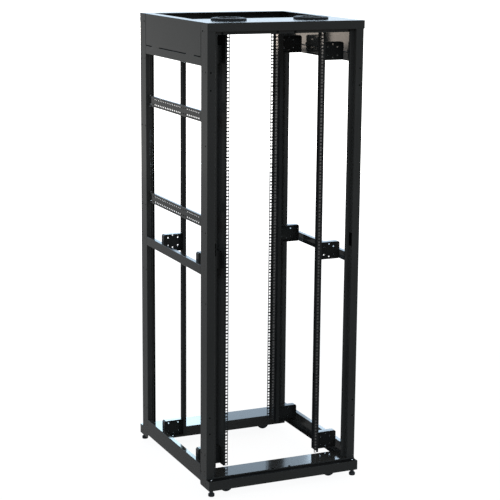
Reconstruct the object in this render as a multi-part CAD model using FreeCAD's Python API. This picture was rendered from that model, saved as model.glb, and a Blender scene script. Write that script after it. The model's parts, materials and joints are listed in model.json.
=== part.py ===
import FreeCAD, Part
import math
import os

# Four-post open frame equipment rack, 45 rack units, on casters and levelling feet.
# Millimetres. Origin: centre of the footprint on the floor. +X right, +Y to the rear, +Z up.

# Overall frame
POST_HALF_WIDTH = 380.0
HEADER_HALF_WIDTH = 384.0
BASE_HALF_WIDTH = 381.0
FRAME_HALF_DEPTH = 423.5
BASE_HALF_DEPTH = 457.0
TOP_Z = 2153.0
SHEET = 2.0
HEAVY_SHEET = 2.5

# Posts: a closed tube, stepped at its inner corner, with a lip set back for the door
POST_FACE = 38.0
POST_DEPTH = 76.0
POST_STEP = 18.5
DOOR_RECESS = 25.0
LIP_WIDTH = 18.0
LIP_RETURN = 12.0
POST_INNER_Y = FRAME_HALF_DEPTH - POST_DEPTH
LATCH_SLOT_Z = (1121.0, 1179.0)
LATCH_SLOT_MARGIN = 3.0

# Top frame
HEADER_HEIGHT = 38.0
HEADER_LIP = 15.0
HEADER_Z = TOP_Z - HEADER_HEIGHT
UPPER_BRACE_Z = 1963.0
UPPER_BRACE_TOP_FLANGE = 42.0
SEAM_Z = 2001.0
SEAM_WIDTH = 3.5
SEAM_MIDDLE_HALF = 170.0
SEAM_END_START = 266.0
SEAM_END_MARGIN = 5.0
STIFFENER_RETURN = 14.0
TOP_PLATE_REAR_Y = -142.0

# Round covers closing the cable ports of the roof
PORT_X = 203.0
PORT_Y = -240.0
PORT_RADIUS = 80.0
PORT_HEIGHT = 10.0
PORT_CROWN_RADIUS = 74.0
PORT_EDGE = 7.0

# Base beams: inverted channels with a door ledge
BASE_Z = 42.0
LEDGE_Z = 84.0
DECK_Z = 90.5
BASE_INNER_Y = 307.0
BASE_BOTTOM_FLANGE = 8.0
BASE_CORNER = 12.0
BASE_CORNER_BOW = 3.0

# Side members
SIDE_DEPTH = 21.0
LOWER_BEAM_Z = (56.0, 135.5)
MIDDLE_BRACE_Z = (1031.0, 1073.5)

# Lacing bars on the left side
LACING_X = -366.0
LACING_HEIGHT = 50.0
LACING_FLANGE = 12.0
LACING_TAB = 22.0
LACING_WINDOW_Y = (312.0, 341.0)
LACING_WINDOW_MARGIN = 10.0
LOWER_LACING_Z = 1244.5
UPPER_LACING_Z = 1714.0

# Equipment rails, EIA-310 hole pattern
RACK_UNITS = 45
UNIT = 44.45
UNIT_HOLES = (6.35, 22.225, 38.1)
FIRST_UNIT_Z = 95.0
HOLE_X = 232.55
HOLE_SIZE = 9.5
RAIL_INNER_X = 225.0
RAIL_OUTER_X = 247.0
RAIL_DEPTH = 69.5
RAIL_RETURN = 13.0
RAIL_TOP_Z = FIRST_UNIT_Z + RACK_UNITS * UNIT
FRONT_RAIL_Y = -306.5
REAR_RAIL_Y = 237.5

# Rail brackets: shallow pans between rail web and side member
BRACKET_OUTER_X = POST_HALF_WIDTH - SIDE_DEPTH
FRONT_BRACKET_Y = -270.5
REAR_BRACKET_Y = 201.5
BRACKET_DEPTH = 31.0
BRACKET_HEIGHT = 82.5
BRACKET_Z = (97.0, MIDDLE_BRACE_Z[0], 1964.0)
BRACKET_CORNER = 6.0

# Levelling feet, screwed up clear of the floor
FOOT_X = 362.5
FOOT_Y = 438.5
FOOT_SIDES = 12
FOOT_BOTTOM_Z = 9.0
FOOT_RADIUS = 15.0
FOOT_BEVEL = 2.5
FOOT_RIM_Z = (11.5, 21.0)
FOOT_NECK_RADIUS = 8.0
FOOT_NECK_Z = (29.5, 44.0)
STEM_RADIUS = 5.0

# Casters: the wheel trails from its kingpin towards the centre of the rack
KINGPIN_X = 290.0
CASTER_Y = 378.7
CASTER_TRAIL = 25.0
WHEEL_RADIUS = 31.75
WHEEL_WIDTH = 26.0
AXLE_RADIUS = 4.0
AXLE_SIDES = 16
AXLE_BORE_RADIUS = 4.2
CASTER_PLATE = (90.0, 70.0, 4.0)
SWIVEL_RADIUS = 20.0
SWIVEL_SIDES = 16
SWIVEL_GAP = 0.5
KINGPIN_RADIUS = 6.0
KINGPIN_SIDES = 12
KINGPIN_CLEARANCE = 0.4
KINGPIN_LENGTH = 9.0
CROWN_Z = 69.0
FORK_SHEET = 2.5
FORK_GAP = 3.0
FORK_EAR = 8.0

ORIGIN = FreeCAD.Vector(0, 0, 0)
X_AXIS = FreeCAD.Vector(1, 0, 0)
Y_AXIS = FreeCAD.Vector(0, 1, 0)
Z_AXIS = FreeCAD.Vector(0, 0, 1)


def fold(path, thickness):
    """Outline of a sheet folded along a path, with its thickness on the path's left."""
    normals = []
    for (u0, v0), (u1, v1) in zip(path, path[1:]):
        length = math.hypot(u1 - u0, v1 - v0)
        normals.append(((v0 - v1) / length, (u1 - u0) / length))
    before = normals[:1] + normals
    after = normals + normals[-1:]
    offset = []
    for (u, v), (a, b), (c, d) in zip(path, before, after):
        scale = thickness / (1 + a * c + b * d)
        offset.append((u + scale * (a + c), v + scale * (b + d)))
    return path + offset[::-1]


def polygon(points, place):
    return Part.Face(Part.makePolygon([place(u, v) for u, v in points + points[:1]]))


def along_x(points, x0, x1):
    face = polygon(points, lambda u, v: FreeCAD.Vector(x0, u, v))
    return face.extrude(FreeCAD.Vector(x1 - x0, 0, 0))


def along_y(points, y0, y1):
    face = polygon(points, lambda u, v: FreeCAD.Vector(u, y0, v))
    return face.extrude(FreeCAD.Vector(0, y1 - y0, 0))


def along_z(points, z0, z1):
    face = polygon(points, lambda u, v: FreeCAD.Vector(u, v, z0))
    return face.extrude(FreeCAD.Vector(0, 0, z1 - z0))


def block(x, y, z):
    return Part.makeBox(x[1] - x[0], y[1] - y[0], z[1] - z[0], FreeCAD.Vector(x[0], y[0], z[0]))


def prism(radius, sides, x, y, z0, z1):
    """Upright regular prism."""
    turns = [2 * math.pi * i / sides for i in range(sides)]
    return along_z([(x + radius * math.cos(a), y + radius * math.sin(a)) for a in turns], z0, z1)


def axle_bar(radius, y0, y1):
    """Front right axle or its bore: a many-sided bar along Y through the wheel's centre."""
    turns = [2 * math.pi * i / AXLE_SIDES for i in range(AXLE_SIDES)]
    x = KINGPIN_X - CASTER_TRAIL
    section = [(x + radius * math.cos(a), WHEEL_RADIUS + radius * math.sin(a)) for a in turns]
    return along_y(section, y0, y1)


def join(shapes):
    return shapes[0].fuse(shapes[1:]).removeSplitter()


def mirror_x(shape):
    return shape.mirror(ORIGIN, X_AXIS)


def mirror_y(shape):
    return shape.mirror(ORIGIN, Y_AXIS)


def corners(shape):
    """Copies of a front right piece at all four corners, front left first."""
    return [mirror_x(shape), shape, mirror_y(mirror_x(shape)), mirror_y(shape)]


def export(name, shape):
    shape.exportStep("parts/" + name + ".step")


def post():
    """Front right post."""
    outer = POST_HALF_WIDTH
    inner = outer - POST_FACE
    front = -FRAME_HALF_DEPTH
    stepped_x = outer - SIDE_DEPTH
    back = -POST_INNER_Y
    step = back - POST_STEP
    wall = [
        (inner, front),
        (outer, front),
        (outer, back),
        (stepped_x, back),
        (stepped_x, step),
        (inner, step),
    ]
    core = [
        (inner + SHEET, front + SHEET),
        (outer - SHEET, front + SHEET),
        (outer - SHEET, back - SHEET),
        (stepped_x + SHEET, back - SHEET),
        (stepped_x + SHEET, step - SHEET),
        (inner + SHEET, step - SHEET),
    ]
    tube = along_z(wall, DECK_Z, HEADER_Z)
    bore = along_z(core, DECK_Z, HEADER_Z)
    recess = front + DOOR_RECESS
    lip_edge = inner - LIP_WIDTH
    path = [(lip_edge, recess + LIP_RETURN), (lip_edge, recess), (inner, recess)]
    lip = along_z(fold(path, SHEET), DECK_Z, HEADER_Z - HEADER_LIP)
    return join([tube.cut(bore), lip])


def latch_slot():
    """Slot for the door latch in the side wall of the front right post's door recess."""
    inner = POST_HALF_WIDTH - POST_FACE
    front = -FRAME_HALF_DEPTH
    span = (front + LATCH_SLOT_MARGIN, front + DOOR_RECESS - LATCH_SLOT_MARGIN)
    return block((inner - SHEET, inner + 2 * SHEET), span, LATCH_SLOT_Z)


def strike_slot():
    """Slot in the lip of the front right post, used on the left one."""
    inner = POST_HALF_WIDTH - POST_FACE
    recess = -FRAME_HALF_DEPTH + DOOR_RECESS
    span = (inner - LIP_WIDTH + SHEET, inner - LATCH_SLOT_MARGIN)
    return block(span, (recess - SHEET, recess + 2 * SHEET), LATCH_SLOT_Z)


def header():
    """Front header with closed ends that cap the posts."""
    front = -FRAME_HALF_DEPTH
    recess = front + DOOR_RECESS
    span = POST_HALF_WIDTH - POST_FACE
    path = [(-POST_INNER_Y, TOP_Z), (front, TOP_Z), (front, HEADER_Z), (recess + SHEET, HEADER_Z)]
    channel = along_x(fold(path, SHEET), -HEADER_HALF_WIDTH, HEADER_HALF_WIDTH)
    lip = block((-span, span), (recess, recess + SHEET), (HEADER_Z - HEADER_LIP, HEADER_Z + SHEET))
    end = block(
        (HEADER_HALF_WIDTH - SHEET, HEADER_HALF_WIDTH),
        (front, -POST_INNER_Y),
        (HEADER_Z, TOP_Z),
    )
    return join([channel, lip, end, mirror_x(end)])


def upper_brace():
    """Right upper side sheet with a slotted seam, backed by an angle that stiffens it."""
    outer = POST_HALF_WIDTH
    inner = outer - SIDE_DEPTH
    flange_edge = outer - UPPER_BRACE_TOP_FLANGE
    path = [(inner, UPPER_BRACE_Z), (outer, UPPER_BRACE_Z), (outer, TOP_Z), (flange_edge, TOP_Z)]
    sheet = along_y(fold(path, SHEET), -POST_INNER_Y, POST_INNER_Y)
    seat = outer - SHEET
    shelf_z = SEAM_Z - SHEET
    stiffener_path = [(inner, shelf_z), (seat, shelf_z), (seat, shelf_z + STIFFENER_RETURN)]
    stiffener = along_y(fold(stiffener_path, SHEET), -POST_INNER_Y, POST_INNER_Y)
    far_end = POST_INNER_Y - SEAM_END_MARGIN
    spans = ((-far_end, -SEAM_END_START), (-SEAM_MIDDLE_HALF, SEAM_MIDDLE_HALF), (SEAM_END_START, far_end))
    slots = [block((seat, outer), span, (SEAM_Z, SEAM_Z + SEAM_WIDTH)) for span in spans]
    return join([sheet.cut(slots), stiffener])


def side_channel(outer, levels):
    """Right side channel, open towards the inside."""
    inner = outer - SIDE_DEPTH
    low, high = levels
    path = [(inner, low), (outer, low), (outer, high), (inner, high)]
    return along_y(fold(path, SHEET), -POST_INNER_Y, POST_INNER_Y)


def base_beam():
    """Front base beam: door ledge, deck, inner wall and closed ends."""
    front = -BASE_HALF_DEPTH
    step = -FRAME_HALF_DEPTH
    waist = -POST_INNER_Y
    inner = -BASE_INNER_Y
    narrow = BASE_HALF_WIDTH - SIDE_DEPTH
    path = [
        (inner - BASE_BOTTOM_FLANGE, BASE_Z),
        (inner, BASE_Z),
        (inner, DECK_Z),
        (step, DECK_Z),
        (step, LEDGE_Z),
        (front, LEDGE_Z),
        (front, BASE_Z),
        (front + BASE_BOTTOM_FLANGE, BASE_Z),
    ]
    channel = along_x(fold(path, HEAVY_SHEET), -BASE_HALF_WIDTH, BASE_HALF_WIDTH)
    notch = block((narrow, BASE_HALF_WIDTH), (waist, inner), (BASE_Z, DECK_Z))
    end_outline = [
        (front, BASE_Z),
        (front, LEDGE_Z),
        (step, LEDGE_Z),
        (step, DECK_Z),
        (waist, DECK_Z),
        (waist, BASE_Z + BASE_CORNER),
        (waist - BASE_CORNER_BOW, BASE_Z + BASE_CORNER_BOW),
        (waist - BASE_CORNER, BASE_Z),
    ]
    end = along_x(end_outline, BASE_HALF_WIDTH - HEAVY_SHEET, BASE_HALF_WIDTH)
    shoulder_x = (narrow - HEAVY_SHEET, BASE_HALF_WIDTH)
    shoulder = block(shoulder_x, (waist - HEAVY_SHEET, waist), (BASE_Z + BASE_CORNER, DECK_Z))
    cheek = block((narrow - HEAVY_SHEET, narrow), (waist - HEAVY_SHEET, inner), (BASE_Z, DECK_Z))
    closures = [end, shoulder, cheek]
    body = channel.cut([notch, mirror_x(notch)])
    return join([body] + closures + [mirror_x(piece) for piece in closures])


def rail(hole_y, direction):
    """Right equipment rail: holed flange at hole_y, web along direction, return turned outwards."""
    half = HOLE_SIZE / 2
    flange_y = sorted((hole_y, hole_y + direction * HEAVY_SHEET))
    web_y = sorted((hole_y, hole_y + direction * RAIL_DEPTH))
    outline = [
        (RAIL_INNER_X, FIRST_UNIT_Z),
        (RAIL_OUTER_X, FIRST_UNIT_Z),
        (RAIL_OUTER_X, RAIL_TOP_Z),
        (RAIL_INNER_X, RAIL_TOP_Z),
    ]
    place = lambda u, v: FreeCAD.Vector(u, flange_y[0], v)
    holes = []
    for unit in range(RACK_UNITS):
        for offset in UNIT_HOLES:
            z = FIRST_UNIT_Z + unit * UNIT + offset
            square = [
                (HOLE_X - half, z - half),
                (HOLE_X + half, z - half),
                (HOLE_X + half, z + half),
                (HOLE_X - half, z + half),
            ]
            holes.append(polygon(square, place))
    face = polygon(outline, place).cut(Part.makeCompound(holes))
    flange = face.extrude(FreeCAD.Vector(0, HEAVY_SHEET, 0))
    web = block((RAIL_OUTER_X - HEAVY_SHEET, RAIL_OUTER_X), web_y, (FIRST_UNIT_Z, RAIL_TOP_Z))
    far_y = hole_y + direction * RAIL_DEPTH
    return_y = sorted((far_y - direction * HEAVY_SHEET, far_y))
    turned = block((RAIL_OUTER_X, RAIL_OUTER_X + RAIL_RETURN), return_y, (FIRST_UNIT_Z, RAIL_TOP_Z))
    return join([flange, web, turned])


def pan_outline(inset, z0):
    """Outline of a bracket with its two outer corners cut off."""
    low = z0 + inset
    high = z0 + BRACKET_HEIGHT - inset
    outer = BRACKET_OUTER_X - inset
    corner = BRACKET_CORNER - inset / 2
    return [
        (RAIL_OUTER_X + inset, low),
        (outer - corner, low),
        (outer, low + corner),
        (outer, high - corner),
        (outer - corner, high),
        (RAIL_OUTER_X + inset, high),
    ]


def brackets(plate_y, direction):
    """Right rail's brackets: plate at plate_y, flanges running along direction."""
    pans = []
    for z0 in BRACKET_Z:
        pan = along_y(pan_outline(0, z0), plate_y, plate_y + direction * BRACKET_DEPTH)
        floor_y = plate_y + direction * SHEET
        hollow = along_y(pan_outline(SHEET, z0), floor_y, plate_y + direction * BRACKET_DEPTH)
        pans.append(pan.cut(hollow))
    return Part.makeCompound(pans)


def lacing_bar(z0):
    """Left cable lacing bar between the posts, windowed and with tabs turned inwards at its ends."""
    z1 = z0 + LACING_HEIGHT
    flange_x = LACING_X + LACING_FLANGE
    path = [(flange_x, z1), (LACING_X, z1), (LACING_X, z0), (flange_x, z0)]
    channel = along_y(fold(path, SHEET), -POST_INNER_Y, POST_INNER_Y)
    tab = block((LACING_X, LACING_X + LACING_TAB), (-POST_INNER_Y, -POST_INNER_Y + SHEET), (z0, z1))
    window_z = (z0 + LACING_WINDOW_MARGIN, z1 - LACING_WINDOW_MARGIN)
    window = block((LACING_X - SHEET, LACING_X + SHEET), LACING_WINDOW_Y, window_z)
    return join([channel.cut([window, mirror_y(window)]), tab, mirror_y(tab)])


def top_plate():
    """Front half of the roof, hemmed along its rear edge."""
    half = POST_HALF_WIDTH - UPPER_BRACE_TOP_FLANGE
    rear = TOP_PLATE_REAR_Y
    path = [(rear, TOP_Z - HEADER_LIP), (rear, TOP_Z), (-POST_INNER_Y, TOP_Z)]
    return along_x(fold(path, SHEET), -half, half)


def port_cover():
    """Round cover of the right cable port, sloped at its edge."""
    profile = [
        (0, 0),
        (PORT_RADIUS, 0),
        (PORT_RADIUS, PORT_EDGE),
        (PORT_CROWN_RADIUS, PORT_HEIGHT),
        (0, PORT_HEIGHT),
    ]
    cover = polygon(profile, lambda u, v: FreeCAD.Vector(u, 0, v)).revolve(ORIGIN, Z_AXIS, 360)
    cover.translate(FreeCAD.Vector(PORT_X, PORT_Y, TOP_Z))
    return cover


def levelling_foot():
    """Front right foot: disc, neck and stem up to the ledge, as stacked many-sided outlines."""
    sections = [
        (FOOT_RADIUS - FOOT_BEVEL, FOOT_BOTTOM_Z),
        (FOOT_RADIUS, FOOT_RIM_Z[0]),
        (FOOT_RADIUS, FOOT_RIM_Z[1]),
        (FOOT_NECK_RADIUS, FOOT_NECK_Z[0]),
        (FOOT_NECK_RADIUS, FOOT_NECK_Z[1]),
        (STEM_RADIUS, FOOT_NECK_Z[1]),
        (STEM_RADIUS, LEDGE_Z - HEAVY_SHEET),
    ]
    turns = [2 * math.pi * i / FOOT_SIDES for i in range(FOOT_SIDES)]
    rings = [
        [FreeCAD.Vector(FOOT_X + r * math.cos(a), -FOOT_Y + r * math.sin(a), z) for a in turns]
        for r, z in sections
    ]
    faces = [Part.Face(Part.makePolygon(ring + ring[:1])) for ring in (rings[0], rings[-1])]
    for low, high in zip(rings, rings[1:]):
        for i in range(FOOT_SIDES):
            j = (i + 1) % FOOT_SIDES
            faces.append(Part.Face(Part.makePolygon([low[i], low[j], high[j], high[i], low[i]])))
    return Part.makeSolid(Part.makeShell(faces))


def caster_plate():
    """Front right mounting plate and swivel housing under the deck."""
    length, width, thickness = CASTER_PLATE
    x, y = KINGPIN_X, -CASTER_Y
    top = DECK_Z - HEAVY_SHEET
    housing_z = CROWN_Z + FORK_SHEET + SWIVEL_GAP
    plate = block((x - length / 2, x + length / 2), (y - width / 2, y + width / 2), (top - thickness, top))
    housing = prism(SWIVEL_RADIUS, SWIVEL_SIDES, x, y, housing_z, top - thickness)
    socket = prism(KINGPIN_RADIUS + KINGPIN_CLEARANCE, KINGPIN_SIDES, x, y, housing_z, top - thickness / 2)
    return join([plate, housing]).cut(socket)


def caster_fork():
    """Front right swivelling fork, folded from sheet, with its kingpin and axle."""
    x, y = KINGPIN_X, -CASTER_Y
    wheel_x = x - CASTER_TRAIL
    leg = WHEEL_WIDTH / 2 + FORK_GAP
    top = CROWN_Z + FORK_SHEET
    low = WHEEL_RADIUS - FORK_EAR
    outline = [
        (x - SWIVEL_RADIUS, top),
        (wheel_x - FORK_EAR, WHEEL_RADIUS),
        (wheel_x - FORK_EAR / 2, low),
        (wheel_x + FORK_EAR / 2, low),
        (x + SWIVEL_RADIUS / 2, CROWN_Z - FORK_EAR),
        (x + SWIVEL_RADIUS / 2, top),
    ]
    side = along_y(outline, y - leg - FORK_SHEET, y - leg)
    far_side = along_y(outline, y + leg, y + leg + FORK_SHEET)
    crown = block((x - SWIVEL_RADIUS, x + SWIVEL_RADIUS / 2), (y - leg, y + leg), (CROWN_Z, top))
    kingpin = prism(KINGPIN_RADIUS, KINGPIN_SIDES, x, y, top, top + KINGPIN_LENGTH)
    axle = axle_bar(AXLE_RADIUS, y - leg, y + leg)
    return join([side, far_side, crown, kingpin, axle])


def caster_wheel():
    """Front right wheel, bored for its axle."""
    start = FreeCAD.Vector(KINGPIN_X - CASTER_TRAIL, -CASTER_Y - WHEEL_WIDTH / 2, WHEEL_RADIUS)
    tyre = Part.makeCylinder(WHEEL_RADIUS, WHEEL_WIDTH, start, Y_AXIS)
    return tyre.cut(axle_bar(AXLE_BORE_RADIUS, start.y, start.y + WHEEL_WIDTH))


os.makedirs("parts", exist_ok=True)

plain_post = post()
export("front_right_post", plain_post.cut(latch_slot()))
export("front_left_post", mirror_x(plain_post.cut(strike_slot())))
export("rear_right_post", mirror_y(plain_post))
export("rear_left_post", mirror_y(mirror_x(plain_post)))

for name, piece in (("header", header()), ("base_beam", base_beam())):
    export("front_" + name, piece)
    export("rear_" + name, mirror_y(piece))

side_pieces = {
    "upper_side_brace": upper_brace(),
    "middle_side_brace": side_channel(POST_HALF_WIDTH, MIDDLE_BRACE_Z),
    "lower_side_beam": side_channel(BASE_HALF_WIDTH, LOWER_BEAM_Z),
    "front_rail": rail(FRONT_RAIL_Y, 1),
    "rear_rail": rail(REAR_RAIL_Y, -1),
    "front_rail_brackets": brackets(FRONT_BRACKET_Y, 1),
    "rear_rail_brackets": brackets(REAR_BRACKET_Y, -1),
}
for name, piece in side_pieces.items():
    export("right_" + name, piece)
    export("left_" + name, mirror_x(piece))

export("lower_lacing_bar", lacing_bar(LOWER_LACING_Z))
export("upper_lacing_bar", lacing_bar(UPPER_LACING_Z))

export("top_plate", top_plate())
right_cover = port_cover()
export("port_covers", Part.makeCompound([mirror_x(right_cover), right_cover]))

export("levelling_feet", Part.makeCompound(corners(levelling_foot())))
export("caster_plates", Part.makeCompound(corners(caster_plate())))
for name, piece in (("caster_fork", caster_fork()), ("caster_wheel", caster_wheel())):
    for corner, copy in zip(("front_left", "front_right", "rear_left", "rear_right"), corners(piece)):
        export(corner + "_" + name, copy)
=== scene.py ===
import json
import math

import bmesh
import bpy
from mathutils import Matrix, Vector

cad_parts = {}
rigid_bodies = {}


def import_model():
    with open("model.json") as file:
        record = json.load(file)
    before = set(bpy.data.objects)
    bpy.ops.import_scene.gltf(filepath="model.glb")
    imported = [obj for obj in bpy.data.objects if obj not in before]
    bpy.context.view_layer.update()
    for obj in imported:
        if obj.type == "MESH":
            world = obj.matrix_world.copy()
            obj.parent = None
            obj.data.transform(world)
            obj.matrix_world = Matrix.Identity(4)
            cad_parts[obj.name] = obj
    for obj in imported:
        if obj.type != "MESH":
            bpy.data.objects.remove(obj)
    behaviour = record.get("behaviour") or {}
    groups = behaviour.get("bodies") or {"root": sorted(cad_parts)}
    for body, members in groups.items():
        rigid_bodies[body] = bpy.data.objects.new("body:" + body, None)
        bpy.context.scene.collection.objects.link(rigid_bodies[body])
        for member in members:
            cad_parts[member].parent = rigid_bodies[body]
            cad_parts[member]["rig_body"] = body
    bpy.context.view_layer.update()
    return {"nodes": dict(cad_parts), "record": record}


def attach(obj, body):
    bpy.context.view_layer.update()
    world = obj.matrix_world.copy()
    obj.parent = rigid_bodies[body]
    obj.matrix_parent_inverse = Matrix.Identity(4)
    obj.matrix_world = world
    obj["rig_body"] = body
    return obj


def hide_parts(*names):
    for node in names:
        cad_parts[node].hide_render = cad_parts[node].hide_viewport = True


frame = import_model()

MM = 0.001
SLOTS = {row["node"]: row["material_slot"] for row in frame["record"]["subparts"]}
ENDS = ((-1, "front"), (1, "rear"))
HANDS = ((-1, "left"), (1, "right"))

# ---------------------------------------------------------------- camera

YAW = 0.4204
PITCH = 0.2091
ROLL = 0.0083
FOCAL_PIXELS = 1525.83
IMAGE_PIXELS = 500
SENSOR_MM = 36.0
CLIP_M = (0.1, 200)
CAMERA_PLACE = Vector((-2.90096, -6.52712, 2.56096))


def make_camera():
    ahead = Vector((math.sin(YAW) * math.cos(PITCH), math.cos(YAW) * math.cos(PITCH), -math.sin(PITCH)))
    level = Vector((math.cos(YAW), -math.sin(YAW), 0))
    upright = level.cross(ahead)
    right = level * math.cos(ROLL) + upright * math.sin(ROLL)
    up = upright * math.cos(ROLL) - level * math.sin(ROLL)
    data = bpy.data.cameras.new("camera")
    data.sensor_width = SENSOR_MM
    data.lens = FOCAL_PIXELS * SENSOR_MM / IMAGE_PIXELS
    data.clip_start, data.clip_end = CLIP_M
    camera = bpy.data.objects.new("camera", data)
    bpy.context.scene.collection.objects.link(camera)
    turn = Matrix((right, up, -ahead)).transposed().to_4x4()
    camera.matrix_world = Matrix.Translation(CAMERA_PLACE) @ turn
    bpy.context.scene.camera = camera


# ---------------------------------------------------------------- materials

COLOUR_DRIFT_SCALE = 3.0
GLOSS_DRIFT_SCALE = 9.0
ORANGE_PEEL = 0.04
ORANGE_PEEL_M = 0.0002


def new_material(name):
    material = bpy.data.materials.new(name)
    material.use_nodes = True
    nodes = material.node_tree.nodes
    return material, nodes, material.node_tree.links, nodes["Principled BSDF"]


def noise(nodes, links, coordinates, scale, detail=3.0):
    node = nodes.new("ShaderNodeTexNoise")
    node.inputs["Scale"].default_value = scale
    node.inputs["Detail"].default_value = detail
    links.new(coordinates, node.inputs["Vector"])
    return node.outputs["Fac"]


def ranged(nodes, links, source, low, high, start=0.3, end=0.7):
    node = nodes.new("ShaderNodeMapRange")
    node.inputs["From Min"].default_value = start
    node.inputs["From Max"].default_value = end
    node.inputs["To Min"].default_value = low
    node.inputs["To Max"].default_value = high
    links.new(source, node.inputs["Value"])
    return node.outputs["Result"]


def painted(name, dark, light, rough, ior=1.085, grain=700.0):
    """Sprayed, moulded or plated surface: slow colour drift, uneven gloss, fine orange peel."""
    material, nodes, links, shader = new_material(name)
    shader.inputs["IOR"].default_value = ior
    where = nodes.new("ShaderNodeTexCoord").outputs["Object"]
    mix = nodes.new("ShaderNodeMix")
    mix.data_type = "RGBA"
    mix.inputs[6].default_value = (*dark, 1)
    mix.inputs[7].default_value = (*light, 1)
    drift = ranged(nodes, links, noise(nodes, links, where, COLOUR_DRIFT_SCALE), 0, 1)
    links.new(drift, mix.inputs[0])
    links.new(mix.outputs[2], shader.inputs["Base Color"])
    gloss = ranged(nodes, links, noise(nodes, links, where, GLOSS_DRIFT_SCALE), *rough)
    links.new(gloss, shader.inputs["Roughness"])
    bump = nodes.new("ShaderNodeBump")
    bump.inputs["Strength"].default_value = ORANGE_PEEL
    bump.inputs["Distance"].default_value = ORANGE_PEEL_M
    links.new(noise(nodes, links, where, grain, 2.0), bump.inputs["Height"])
    links.new(bump.outputs["Normal"], shader.inputs["Normal"])
    return material


def grey(value):
    return (value, value, value)


# name: darkest colour, lightest colour, range of roughness, and what differs from the usual
FINISHES = {
    "frame_black": ((0.0082, 0.0078, 0.0071), (0.0100, 0.0096, 0.0088), (0.10, 0.15), {}),
    "rail_black": ((0.0060, 0.0058, 0.0054), (0.0080, 0.0077, 0.0072), (0.12, 0.20), {"ior": 1.025}),
    # Painted reflection: a lighter, glossier copy of the rail paint for the webs behind the rail holes
    "lit_rail_web": ((0.0080, 0.0077, 0.0072), (0.0100, 0.0096, 0.0090), (0.12, 0.20), {"ior": 1.17}),
    "bracket_black": ((0.0050, 0.0048, 0.0044), (0.0066, 0.0063, 0.0058), (0.12, 0.18), {}),
    "port_cover_plastic": (grey(0.006), grey(0.009), (0.4, 0.5), {"ior": 1.05}),
    "foot_black": (grey(0.006), grey(0.010), (0.25, 0.4), {}),
    "caster_steel": (grey(0.012), grey(0.020), (0.25, 0.4), {}),
    "wheel_plastic": (grey(0.008), grey(0.012), (0.40, 0.55), {}),
    "zinc_plate": (grey(0.28), grey(0.38), (0.25, 0.35), {"ior": 1.4, "grain": 300.0}),
    # Painted shade: a dull near-black laid on gaps, recesses and holes that show only shadow
    "shadow_black": (grey(0.002), grey(0.004), (0.5, 0.6), {"ior": 1.02}),
}
MATERIALS = {
    name: painted(name, dark, light, rough, **other)
    for name, (dark, light, rough, other) in FINISHES.items()
}

# ---------------------------------------------------------------- mesh tools

MERGE_M = 1e-6
SHARP_DEGREES = 35
CUT_EDGE_DEGREES = 50
THIN_FACE_MM = 3.5
INNER_FOLD_SHARE = 0.4


def circle(radius, sides=20):
    return [
        (radius * math.cos(2 * math.pi * i / sides), radius * math.sin(2 * math.pi * i / sides))
        for i in range(sides)
    ]


def rounded_rectangle(width, height, radius, steps=2):
    points = []
    for turn, (sx, sy) in enumerate(((1, 1), (-1, 1), (-1, -1), (1, -1))):
        for i in range(steps + 1):
            angle = math.pi / 2 * (turn + i / steps)
            x = sx * (width / 2 - radius) + radius * math.cos(angle)
            y = sy * (height / 2 - radius) + radius * math.sin(angle)
            points.append((x, y))
    return points


def oriented(axis, u, v, w):
    """Point with u, v across the axis and w along it."""
    return {"x": Vector((w, u, v)), "y": Vector((u, w, v)), "z": Vector((u, v, w))}[axis]


def prism(bm, outline, centre, axis, length):
    """Adds a closed prism of the outline, all in millimetres, centred on a point."""
    middle = Vector(centre)
    low, high = [
        [bm.verts.new((middle + oriented(axis, u, v, end * length)) * MM) for u, v in outline]
        for end in (-0.5, 0.5)
    ]
    bm.faces.new(low[::-1])
    bm.faces.new(high)
    count = len(outline)
    for i in range(count):
        j = (i + 1) % count
        bm.faces.new((low[i], low[j], high[j], high[i]))


def lathe(bm, profile, centre, axis, sides=64):
    """Adds a closed solid turned from (radius, height) points in millimetres."""
    middle = Vector(centre)
    rings = []
    for radius, height in profile:
        outline = circle(radius, sides) if radius else [(0, 0)]
        rings.append([bm.verts.new((middle + oriented(axis, u, v, height)) * MM) for u, v in outline])
    for low, high in zip(rings, rings[1:]):
        for i in range(sides):
            j = (i + 1) % sides
            if len(low) == 1:
                bm.faces.new((low[0], high[j], high[i]))
            elif len(high) == 1:
                bm.faces.new((low[i], low[j], high[0]))
            else:
                bm.faces.new((low[i], low[j], high[j], high[i]))


def smooth(mesh, degrees=SHARP_DEGREES):
    mesh.shade_smooth()
    mesh.set_sharp_from_angle(angle=math.radians(degrees))


def new_object(name, bm, degrees=SHARP_DEGREES):
    bmesh.ops.recalc_face_normals(bm, faces=bm.faces)
    mesh = bpy.data.meshes.new(name)
    bm.to_mesh(mesh)
    bm.free()
    smooth(mesh, degrees)
    piece = bpy.data.objects.new(name, mesh)
    bpy.context.scene.collection.objects.link(piece)
    return piece


def place(piece, body, slot, material=None):
    """Puts a piece on its body, in its slot's material or in another one."""
    piece.data.materials.clear()
    piece.data.materials.append(MATERIALS[material or slot])
    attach(piece, body)
    return piece


def merge_flat(bm, degrees):
    bmesh.ops.dissolve_limit(bm, angle_limit=math.radians(degrees), verts=bm.verts, edges=bm.edges)


def node_mesh(node):
    """A CAD node's surface with its triangles merged back into flat faces."""
    bm = bmesh.new()
    bm.from_mesh(frame["nodes"][node].data)
    bmesh.ops.remove_doubles(bm, verts=bm.verts, dist=MERGE_M)
    merge_flat(bm, 1)
    return bm


def face_width(face):
    return 2 * face.calc_area() / face.calc_perimeter()


def bevel(bm, edges, radius, segments):
    bmesh.ops.bevel(
        bm, geom=edges, offset=radius * MM, segments=segments, profile=0.5, affect="EDGES", clamp_overlap=True
    )


def bend(edge):
    """Degrees between an edge's two faces, 0 where it hasn't two."""
    return math.degrees(edge.calc_face_angle(0)) if len(edge.link_faces) == 2 else 0


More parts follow.
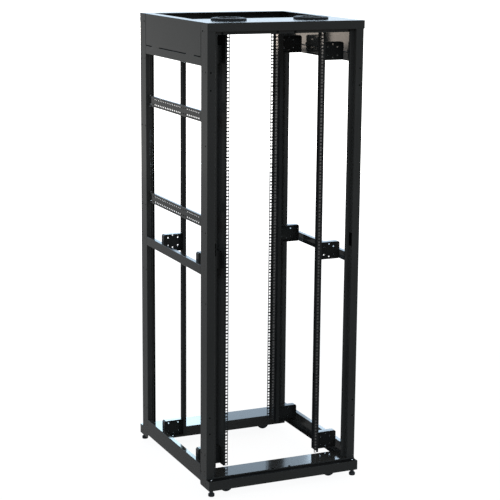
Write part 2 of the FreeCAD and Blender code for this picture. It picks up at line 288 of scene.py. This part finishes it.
def round_edges(bm, fold, edge):
    """Rounds sheet folds with a large radius and cut edges with a small one."""
    folds = [
        e for e in bm.edges
        if bend(e) >= SHARP_DEGREES and min(face_width(f) for f in e.link_faces) > THIN_FACE_MM * MM
    ]
    outer = [e for e in folds if e.is_convex]
    inner = [e for e in folds if not e.is_convex]
    for chosen, radius in ((outer, fold), (inner, fold * INNER_FOLD_SHARE)):
        chosen = [e for e in chosen if e.is_valid]
        if chosen:
            bevel(bm, chosen, radius, 3)
    bevel(bm, [e for e in bm.edges if bend(e) > CUT_EDGE_DEGREES], edge, 1)


def cut(piece, cutter_bm):
    """Takes the cutter's closed prisms out of the piece."""
    cutter = new_object("cutter", cutter_bm)
    modifier = piece.modifiers.new("cut", "BOOLEAN")
    modifier.operation = "DIFFERENCE"
    modifier.solver = "MANIFOLD"
    modifier.object = cutter
    bpy.context.view_layer.update()
    graph = bpy.context.evaluated_depsgraph_get()
    mesh = bpy.data.meshes.new_from_object(piece.evaluated_get(graph))
    piece.modifiers.clear()
    bm = bmesh.new()
    bm.from_mesh(mesh)
    merge_flat(bm, 0.3)
    bm.to_mesh(mesh)
    bm.free()
    piece.data = mesh
    bpy.data.objects.remove(cutter)


def inside(point, box):
    """Whether a point lies in a box given in millimetres, with all signs left out."""
    return all(low <= abs(c) / MM <= high for c, (low, high) in zip(point, box))


def repaint(piece, boxes, name="shadow_black"):
    """Gives the faces inside the boxes another material, as a rule shadow_black, painted shade for gaps and
    recesses.
    """
    piece.data.materials.append(MATERIALS[name])
    for polygon in piece.data.polygons:
        if any(inside(polygon.center, box) for box in boxes):
            polygon.material_index = len(piece.data.materials) - 1


def dress(node, punches=(), fold=2.0, edge=0.3, shift=None, dark=None):
    """Replaces a CAD node by a copy with rounded folds and edges and its small holes."""
    bm = node_mesh(node)
    if shift:
        for vertex in bm.verts:
            vertex.co = shift(vertex.co / MM) * MM
    round_edges(bm, fold, edge)
    piece = new_object(node + ".skin", bm)
    if punches:
        cutter = bmesh.new()
        for outline, centre, axis, length in punches:
            prism(cutter, outline, centre, axis, length)
        cut(piece, cutter)
        smooth(piece.data)
    modifier = piece.modifiers.new("normals", "WEIGHTED_NORMAL")
    modifier.weight = 100
    modifier.keep_sharp = True
    place(piece, frame["nodes"][node]["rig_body"], SLOTS[node])
    # Painted shade on the faces inside the given boxes
    if dark:
        repaint(piece, dark)
    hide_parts(node)
    return piece


# ---------------------------------------------------------------- sheet metal pieces

# Outlines of holes, and lengths of the punches that make them
BOLT_HOLE = circle(3.9)
SCREW_HOLE = circle(2.8, 16)
BRACKET_HOLE = circle(3.4, 16)
THROUGH = 12.0
BASE_THROUGH = 8.0

# Posts
POST_HALF_WIDTH = 380.0
SIDE_HOLE_Z = (1940.0, 1617.5, 1230.0, 907.0, 196.0)
SIDE_HOLE_Y = (360.0, 403.0)
FACE_HOLE_Z = (1939.0, 1862.0, 377.5, 301.0)
FACE_HOLE_X = 364.5
FACE_HOLE_Y = 423.5
FOOT_HOLES = ((361.0, 105.0), (403.0, 118.0), (403.0, 97.5))
LATCH_SLOT = rounded_rectangle(24.5, 62.0, 1.0)
LATCH_PLACE = (342.0, -410.0, 1150.0)
LATCH_LENGTH = 8.0
POST_FOLD = 2.6

# Header: its left end is drawn in to lie flush with the posts
HEADER_HALF_WIDTH = 384.0
HEADER_END_REACH = 2.1
HEADER_FLUSH_MOVE = 3.6

# Upper side braces: seam slots, and grooves where the sheet meets the posts
PANEL_HALF_DEPTH = 347.5
SEAM_MIDDLE_Z = 2002.75
SEAM_SPANS = ((-342.5, -266.0), (-170.0, 170.0), (266.0, 342.5))
SEAM_MOUTH = 5.4
SEAM_X = 379.2
SEAM_LENGTH = 2.3
GROOVE = rounded_rectangle(3.4, 148.0, 0.5, 1)
GROOVE_Y = PANEL_HALF_DEPTH - 1.6
GROOVE_MIDDLE_Z = 2076.0
GROOVE_X = 380.0
GROOVE_LENGTH = 3.0

# Base beams and bottom side beams: what their skins add to the solids
SKIRT_TOP_Z = 45.5
SKIRT_DROP = 3.5
DECK_HOLE_PLACE = (322.0, 412.0, 90.0)
END_HOLE_PLACE = (381.0, 415.0, 63.0)
BEAM_FLANGE_EDGE_X = 362.0
BEAM_FLANGE_TOP_Z = 60.0
BEAM_FLANGE_GROWTH = 9.0

# Rail brackets
BRACKET_Z = (97.0, 1031.0, 1964.0)
BRACKET_MIDDLE = 41.25
FRONT_BRACKET_Y = -269.5
REAR_BRACKET_Y = 200.5
BRACKET_HOLES = (
    (303.0, 31.5), (303.0, -28.5), (326.2, 19.0), (276.2, 19.0), (326.2, -19.0), (276.2, -19.0),
)

# Lacing bars
LACING_X = -366.0
LACING_Z = {"lower_lacing_bar": 1244.5, "upper_lacing_bar": 1714.0}
LACING_SLOTS = 26
LACING_PITCH = 23.0
LACING_FOLD = 1.5
LACING_ROWS = ((rounded_rectangle(8.6, 5.0, 1.8), 37.7), (rounded_rectangle(11.0, 6.6, 2.2), 12.7))

# Rails
RAIL_HOLE_Y = {"front": -306.5, "rear": 237.5}
RAIL_DEPTH = 69.5
# Depth of the painted reflection on the web behind the holes; painted shade from there to the far edge
RAIL_LIT_DEPTH = 42.0
RAIL_SHARP_DEGREES = 30
RAIL_WEB_X = (244.3, 244.7)

# Where a piece is repainted, mostly with painted shade: boxes of x, y and z, with all signs left out
# Painted shade: the backs of the seam slots and of the grooves, and the lower band of the upper braces' inner
# face
SEAM_BACK = ((377.7, 378.4), (0, PANEL_HALF_DEPTH), (1998, 2008))
GROOVE_BACK = ((378.42, 378.7), (0, PANEL_HALF_DEPTH), (1998, 2152))
PANEL_FOOT = ((378.3, 378.7), (0, PANEL_HALF_DEPTH), (1963, 1999))
# Painted shade: the inside of the bottom side beams, in the darker, less glossy rail paint
BEAM_INSIDE = ((340, 378.7), (0, PANEL_HALF_DEPTH), (50, 133.9))
# Painted shade: the door ledge of the front base beam
DOOR_LEDGE = ((0, 390), (423.8, 455), (83.5, 89))
FULL_HEIGHT = (0, 2200)


def post_punches(sx, sy):
    punches = []
    for z in SIDE_HOLE_Z:
        for y in SIDE_HOLE_Y:
            punches.append((BOLT_HOLE, (sx * POST_HALF_WIDTH, sy * y, z), "x", THROUGH))
    for y, z in FOOT_HOLES:
        punches.append((SCREW_HOLE, (sx * POST_HALF_WIDTH, sy * y, z), "x", THROUGH))
    for z in FACE_HOLE_Z:
        punches.append((BOLT_HOLE, (sx * FACE_HOLE_X, sy * FACE_HOLE_Y, z), "y", THROUGH))
    if (sx, sy) == (1, -1):
        punches.append((LATCH_SLOT, LATCH_PLACE, "x", LATCH_LENGTH))
    return punches


def flush_left(point):
    """Brings the header's left end level with the posts' sides."""
    if point.x < HEADER_END_REACH - HEADER_HALF_WIDTH:
        return Vector((point.x + HEADER_FLUSH_MOVE, point.y, point.z))
    return point


def widen_foot(point):
    """Wider lower flange of the bottom side beams."""
    if abs(point.x) < BEAM_FLANGE_EDGE_X and point.z < BEAM_FLANGE_TOP_Z:
        return Vector((point.x - math.copysign(BEAM_FLANGE_GROWTH, point.x), point.y, point.z))
    return point


def sink_skirt(point):
    """Base beams' lower edge, a little below that of the solids."""
    if point.z < SKIRT_TOP_Z:
        return Vector((point.x, point.y, point.z - SKIRT_DROP))
    return point


def seam_punches(sx):
    """Seam slots, and the grooves where the upper part of the side sheet meets the posts."""
    punches = []
    for start, end in SEAM_SPANS:
        outline = rounded_rectangle(end - start, SEAM_MOUTH, 0.8)
        punches.append((outline, (sx * SEAM_X, (start + end) / 2, SEAM_MIDDLE_Z), "x", SEAM_LENGTH))
    for sy, _ in ENDS:
        punches.append((GROOVE, (sx * GROOVE_X, sy * GROOVE_Y, GROOVE_MIDDLE_Z), "x", GROOVE_LENGTH))
    return punches


def base_punches(sy):
    punches = []
    for outline, (x, y, z), axis in ((BOLT_HOLE, DECK_HOLE_PLACE, "z"), (SCREW_HOLE, END_HOLE_PLACE, "x")):
        for sx, _ in HANDS:
            punches.append((outline, (sx * x, sy * y, z), axis, BASE_THROUGH))
    return punches


def bracket_punches(sx, plate_y):
    punches = []
    for z0 in BRACKET_Z:
        for x, dz in BRACKET_HOLES:
            punches.append((BRACKET_HOLE, (sx * x, plate_y, z0 + BRACKET_MIDDLE + dz), "y", THROUGH))
    return punches


def lacing_punches(z0):
    """Two rows of cable tie slots, the lower row's larger."""
    punches = []
    for k in range(LACING_SLOTS):
        y = LACING_PITCH * (k - (LACING_SLOTS - 1) / 2)
        for outline, dz in LACING_ROWS:
            punches.append((outline, (LACING_X, y, z0 + dz), "x", THROUGH))
    return punches


def dress_rail(node, hole_y, direction):
    """Copies a rail; its web has a painted reflection, in a lighter and glossier paint, behind the holes, and
    painted shade towards its far edge.
    """
    bm = node_mesh(node)
    split = hole_y + direction * RAIL_LIT_DEPTH
    geometry = list(bm.verts) + list(bm.edges) + list(bm.faces)
    bmesh.ops.bisect_plane(bm, geom=geometry, plane_co=Vector((0, split, 0)) * MM, plane_no=(0, 1, 0))
    piece = new_object(node + ".skin", bm, RAIL_SHARP_DEGREES)
    place(piece, frame["nodes"][node]["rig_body"], SLOTS[node])
    far = hole_y + direction * RAIL_DEPTH
    for edge, name in ((far, "shadow_black"), (hole_y, "lit_rail_web")):
        box = (RAIL_WEB_X, sorted((abs(split), abs(edge))), FULL_HEIGHT)
        repaint(piece, (box,), name)
    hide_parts(node)


for sy, end in ENDS:
    for sx, hand in HANDS:
        dress(f"{end}_{hand}_post", post_punches(sx, sy), fold=POST_FOLD)
    dress(end + "_header", shift=flush_left)
    # Only the front base beam's door ledge gets painted shade
    ledge = (DOOR_LEDGE,) if end == "front" else None
    dress(end + "_base_beam", base_punches(sy), shift=sink_skirt, dark=ledge)
for sx, hand in HANDS:
    # The upper braces get painted shade in their slot backs, groove backs and the lower band of their inner
    # face
    dress(hand + "_upper_side_brace", seam_punches(sx), dark=(SEAM_BACK, GROOVE_BACK, PANEL_FOOT))
    dress(hand + "_middle_side_brace")
    # The bottom side beams' insides get painted shade in the rail paint
    repaint(dress(hand + "_lower_side_beam", shift=widen_foot), (BEAM_INSIDE,), "rail_black")
    dress(hand + "_front_rail_brackets", bracket_punches(sx, FRONT_BRACKET_Y))
    dress(hand + "_rear_rail_brackets", bracket_punches(sx, REAR_BRACKET_Y))
for node, z0 in LACING_Z.items():
    dress(node, lacing_punches(z0), fold=LACING_FOLD)
dress("top_plate")
caster_plates = frame["nodes"]["caster_plates"]
caster_plates.data.materials.clear()
caster_plates.data.materials.append(MATERIALS[SLOTS["caster_plates"]])
for _, hand in HANDS:
    for sy, end in ENDS:
        dress_rail(f"{hand}_{end}_rail", RAIL_HOLE_Y[end], -sy)

# ---------------------------------------------------------------- turned pieces

# Profiles of (radius, height) points
COVER = [
    (0, 0), (80, 0), (80, 5.5), (79.2, 7.2), (75.5, 9.3), (73.5, 9.8), (71.5, 10.0), (55, 10.0),
    (52.5, 9.6), (50.5, 8.4), (48.5, 6.4), (47.0, 5.8), (45.0, 5.5), (12, 5.2), (0, 5.2),
]
FOOT_DISC_AND_NUT = [
    (0, 9), (11.6, 9), (13.4, 9.5), (14.5, 10.6), (14.9, 12.2), (14.9, 20.6), (14.3, 22.0),
    (12.6, 23.6), (10.4, 25.6), (9.0, 27.6), (8.2, 29.8), (8.0, 32), (8.0, 35.5), (5.0, 35.6),
]
WHEEL = [
    (4.2, -13), (9.5, -13), (10.2, -12.2), (10.6, -11), (24, -11), (25.5, -12.4), (27, -13),
    (29.2, -12.6), (30.8, -11), (31.5, -8.4), (31.75, -5), (31.75, 5), (31.5, 8.4), (30.8, 11),
    (29.2, 12.6), (27, 13), (25.5, 12.4), (24, 11), (10.6, 11), (10.2, 12.2), (9.5, 13), (4.2, 13),
    (4.2, -13),
]
PLUG_DOME = [(0, 0), (5.6, 0), (5.8, 0.6), (5.4, 1.6), (4.0, 2.4), (2.0, 2.8), (0, 2.9)]
END_PLUG = [(0, 0), (3.8, 0), (3.7, 0.5), (0, 0.7)]
SCREW_HEAD = [
    (0, 0.2), (6.4, 0.2), (6.4, -0.8), (5.4, -2.0), (3.4, -2.6), (2.4, -2.6), (2.2, -1.4), (0, -1.4),
]
STUD = [(0, 0), (3.2, 0), (3.2, 0.9), (2.7, 1.5), (0, 1.5)]

COVER_X, COVER_Y, ROOF_Z = 203, -240, 2153
FOOT_X, FOOT_Y = 362.5, 438.5
THREAD_Z = (36.5, 79.5)
THREAD_PITCH = 1.5
THREAD_RADII = (5.0, 4.5)
STEM_TOP_Z = 81.4
LEDGE_Z = 84.0
WHEEL_X, WHEEL_Y, WHEEL_Z = 265, 378.7, 31.75
HEADER_PLUG_X = (-301.0, -36.0, 50.0, 319.0)
HEADER_PLUG_Y, HEADER_PLUG_Z = 398.5, 2105.5
DECK_PLUG_X = (-45.0, 41.0)
DECK_PLUG_Y, DECK_Z = 418.0, 90.5
END_PLUGS_X = ((-380.4, -1), (383.2, 1))
END_PLUG_Y, END_PLUG_Z = 367.0, 2116.0
SCREW_X, SCREW_Y = -359.2, 346.0
SCREW_HEIGHTS = (3.8, 44.4)
STRIKE_X, STRIKE_Z = -332.5, 1150.0


def stand_for(node, bm, body, slot):
    """Puts a finished mesh in a CAD node's place."""
    piece = new_object(node + ".skin", bm)
    place(piece, body, slot)
    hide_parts(node)


def turned(profile, scale):
    """A profile with its heights scaled, or turned over by -1."""
    return [(radius, scale * height) for radius, height in profile]


def covers():
    bm = bmesh.new()
    for sx, _ in HANDS:
        lathe(bm, COVER, (sx * COVER_X, COVER_Y, ROOF_Z), "z", 96)
    stand_for("port_covers", bm, "root", "port_cover_plastic")


def feet():
    bm = bmesh.new()
    profile = list(FOOT_DISC_AND_NUT)
    crest, root = THREAD_RADII
    z, top = THREAD_Z
    while z < top:
        profile += [(crest, z), (root, z + 0.6), (crest, z + 1.2)]
        z += THREAD_PITCH
    profile += [(crest, STEM_TOP_Z), (0, STEM_TOP_Z)]
    for sy, _ in ENDS:
        for sx, _ in HANDS:
            lathe(bm, profile, (sx * FOOT_X, sy * FOOT_Y, 0), "z", 40)
    stand_for("levelling_feet", bm, "root", "foot_black")


def wheel(corner, sx, sy):
    bm = bmesh.new()
    lathe(bm, WHEEL, (sx * WHEEL_X, sy * WHEEL_Y, WHEEL_Z), "y", 64)
    bmesh.ops.remove_doubles(bm, verts=bm.verts, dist=MERGE_M / 10)
    stand_for(corner + "_caster_wheel", bm, corner + "_wheel", "wheel_plastic")


def plugs():
    """Plugs in the header lips, the decks and the headers' ends, in the dull black of painted shade; those on
    the headers' ends are flat dark discs that stand for the shade in the holes there.
    """
    for sy, end in ENDS:
        bm = bmesh.new()
        for x in HEADER_PLUG_X:
            lathe(bm, turned(PLUG_DOME, sy), (x, sy * HEADER_PLUG_Y, HEADER_PLUG_Z), "y", 24)
        for x in DECK_PLUG_X:
            lathe(bm, PLUG_DOME, (x, sy * DECK_PLUG_Y, DECK_Z), "z", 24)
        for x, out in END_PLUGS_X:
            lathe(bm, turned(END_PLUG, out), (x, sy * END_PLUG_Y, END_PLUG_Z), "x", 20)
        place(new_object(end + "_plugs", bm), "root", "wheel_plastic", "shadow_black")


def screws():
    """Plated screw heads at the lacing bars' ends, and the feet's studs in the door ledges."""
    bm = bmesh.new()
    for z0 in LACING_Z.values():
        for dz in SCREW_HEIGHTS:
            for sy, _ in ENDS:
                lathe(bm, turned(SCREW_HEAD, sy), (SCREW_X, sy * SCREW_Y, z0 + dz), "y", 20)
    for sx, _ in HANDS:
        for sy, _ in ENDS:
            lathe(bm, STUD, (sx * FOOT_X, sy * FOOT_Y, LEDGE_Z), "z", 20)
    place(new_object("screws", bm), "root", "caster_steel", "zinc_plate")


def strike_pocket():
    """Closed cup behind the strike slot in the left post's lip, its walls in painted shade."""
    bm = bmesh.new()
    prism(bm, rounded_rectangle(17.0, 66.0, 1.5, 3), (STRIKE_X, -390.2, STRIKE_Z), "y", 12.4)
    pocket = new_object("strike_pocket", bm)
    cutter = bmesh.new()
    prism(cutter, rounded_rectangle(14.0, 62.0, 1.0, 3), (STRIKE_X, -393.0, STRIKE_Z), "y", 12.0)
    cut(pocket, cutter)
    place(pocket, "root", "wheel_plastic")
    # Painted shade on the cup's walls
    repaint(pocket, (((0, 400), (385.5, 396.3), FULL_HEIGHT),))


covers()
feet()
plugs()
screws()
strike_pocket()
for sy, end in ENDS:
    for sx, hand in HANDS:
        wheel(f"{end}_{hand}", sx, sy)
        dress(f"{end}_{hand}_caster_fork")

# ---------------------------------------------------------------- stage and light

FLOOR_RADIUS = 9000
FLOOR_Z = -0.6
FLOOR_THICKNESS = 1.0
FLOOR_GREY = 0.05
FLOOR_GLOW = (0.93, 1.60)
FLOOR_GLOW_REACH = (2.6, 8.4)
SKY_PEAK = 9.0

# Height of a direction (sine of its elevation) and the dome's colour there
SKY = (
    (-0.35, (2.20, 2.20, 2.15)),
    (-0.12, (2.10, 2.10, 2.06)),
    (-0.04, (1.60, 1.62, 1.62)),
    (0.05, (1.10, 1.27, 1.43)),
    (0.12, (2.00, 2.50, 3.00)),
    (0.26, (4.90, 6.30, 7.70)),
    (0.40, (5.20, 6.60, 8.00)),
    (0.50, (1.60, 1.60, 1.60)),
    (0.90, (1.20, 1.10, 1.00)),
)

# Place and size in metres, colour, watts
SOFTBOXES = {
    "warm_softbox": ((-0.235, 1.2, 2.0), (0.42, 0.20), (1.0, 0.86, 0.74), 4.4),
    "cool_softbox": ((0.72, 3.0, 1.16), (0.62, 0.66), (0.66, 0.90, 1.0), 26.0),
    "side_softbox": ((1.62, 2.26, 1.08), (0.30, 0.32), (0.66, 0.84, 1.0), 4.0),
}


def make_floor():
    """Plain white glowing sweep, so the rack stands almost without a shadow."""
    bm = bmesh.new()
    prism(bm, circle(FLOOR_RADIUS, 96), (0, 0, FLOOR_Z), "z", FLOOR_THICKNESS)
    floor = new_object("floor", bm)
    material, nodes, links, shader = new_material("floor")
    shader.inputs["Base Color"].default_value = (*grey(FLOOR_GREY), 1)
    shader.inputs["Roughness"].default_value = 0.9
    shader.inputs["Specular IOR Level"].default_value = 0.0
    shader.inputs["Emission Color"].default_value = (1, 1, 1, 1)
    reach = nodes.new("ShaderNodeVectorMath")
    reach.operation = "LENGTH"
    links.new(nodes.new("ShaderNodeTexCoord").outputs["Object"], reach.inputs[0])
    glow = ranged(nodes, links, reach.outputs["Value"], *FLOOR_GLOW, *FLOOR_GLOW_REACH)
    links.new(glow, shader.inputs["Emission Strength"])
    floor.data.materials.append(material)


def make_world():
    """Soft studio dome: white low down, cooler and brighter above the horizon."""
    world = bpy.data.worlds.new("world")
    world.use_nodes = True
    nodes = world.node_tree.nodes
    links = world.node_tree.links
    split = nodes.new("ShaderNodeSeparateXYZ")
    links.new(nodes.new("ShaderNodeTexCoord").outputs["Generated"], split.inputs[0])
    ramp = nodes.new("ShaderNodeValToRGB")
    elements = ramp.color_ramp.elements
    while len(elements) < len(SKY):
        elements.new(1.0)
    for element, (height, colour) in zip(elements, SKY):
        element.position = (height + 1) / 2
        element.color = (*[c / SKY_PEAK for c in colour], 1)
    links.new(ranged(nodes, links, split.outputs["Z"], 0, 1, -1.0, 1.0), ramp.inputs[0])
    background = nodes["Background"]
    links.new(ramp.outputs[0], background.inputs["Color"])
    background.inputs["Strength"].default_value = SKY_PEAK
    bpy.context.scene.world = world


def softbox(name, place_m, size_m, colour, watts):
    """Upright area light behind the rack, shining towards its front."""
    data = bpy.data.lights.new(name, "AREA")
    data.shape = "RECTANGLE"
    data.size, data.size_y = size_m
    data.color = colour
    data.energy = watts
    light = bpy.data.objects.new(name, data)
    light.location = place_m
    light.rotation_euler = (math.radians(-90), 0, 0)
    light.visible_camera = False
    bpy.context.scene.collection.objects.link(light)


bpy.context.scene.view_settings.view_transform = "Standard"
for name, settings in SOFTBOXES.items():
    softbox(name, *settings)
make_floor()
make_world()
make_camera()
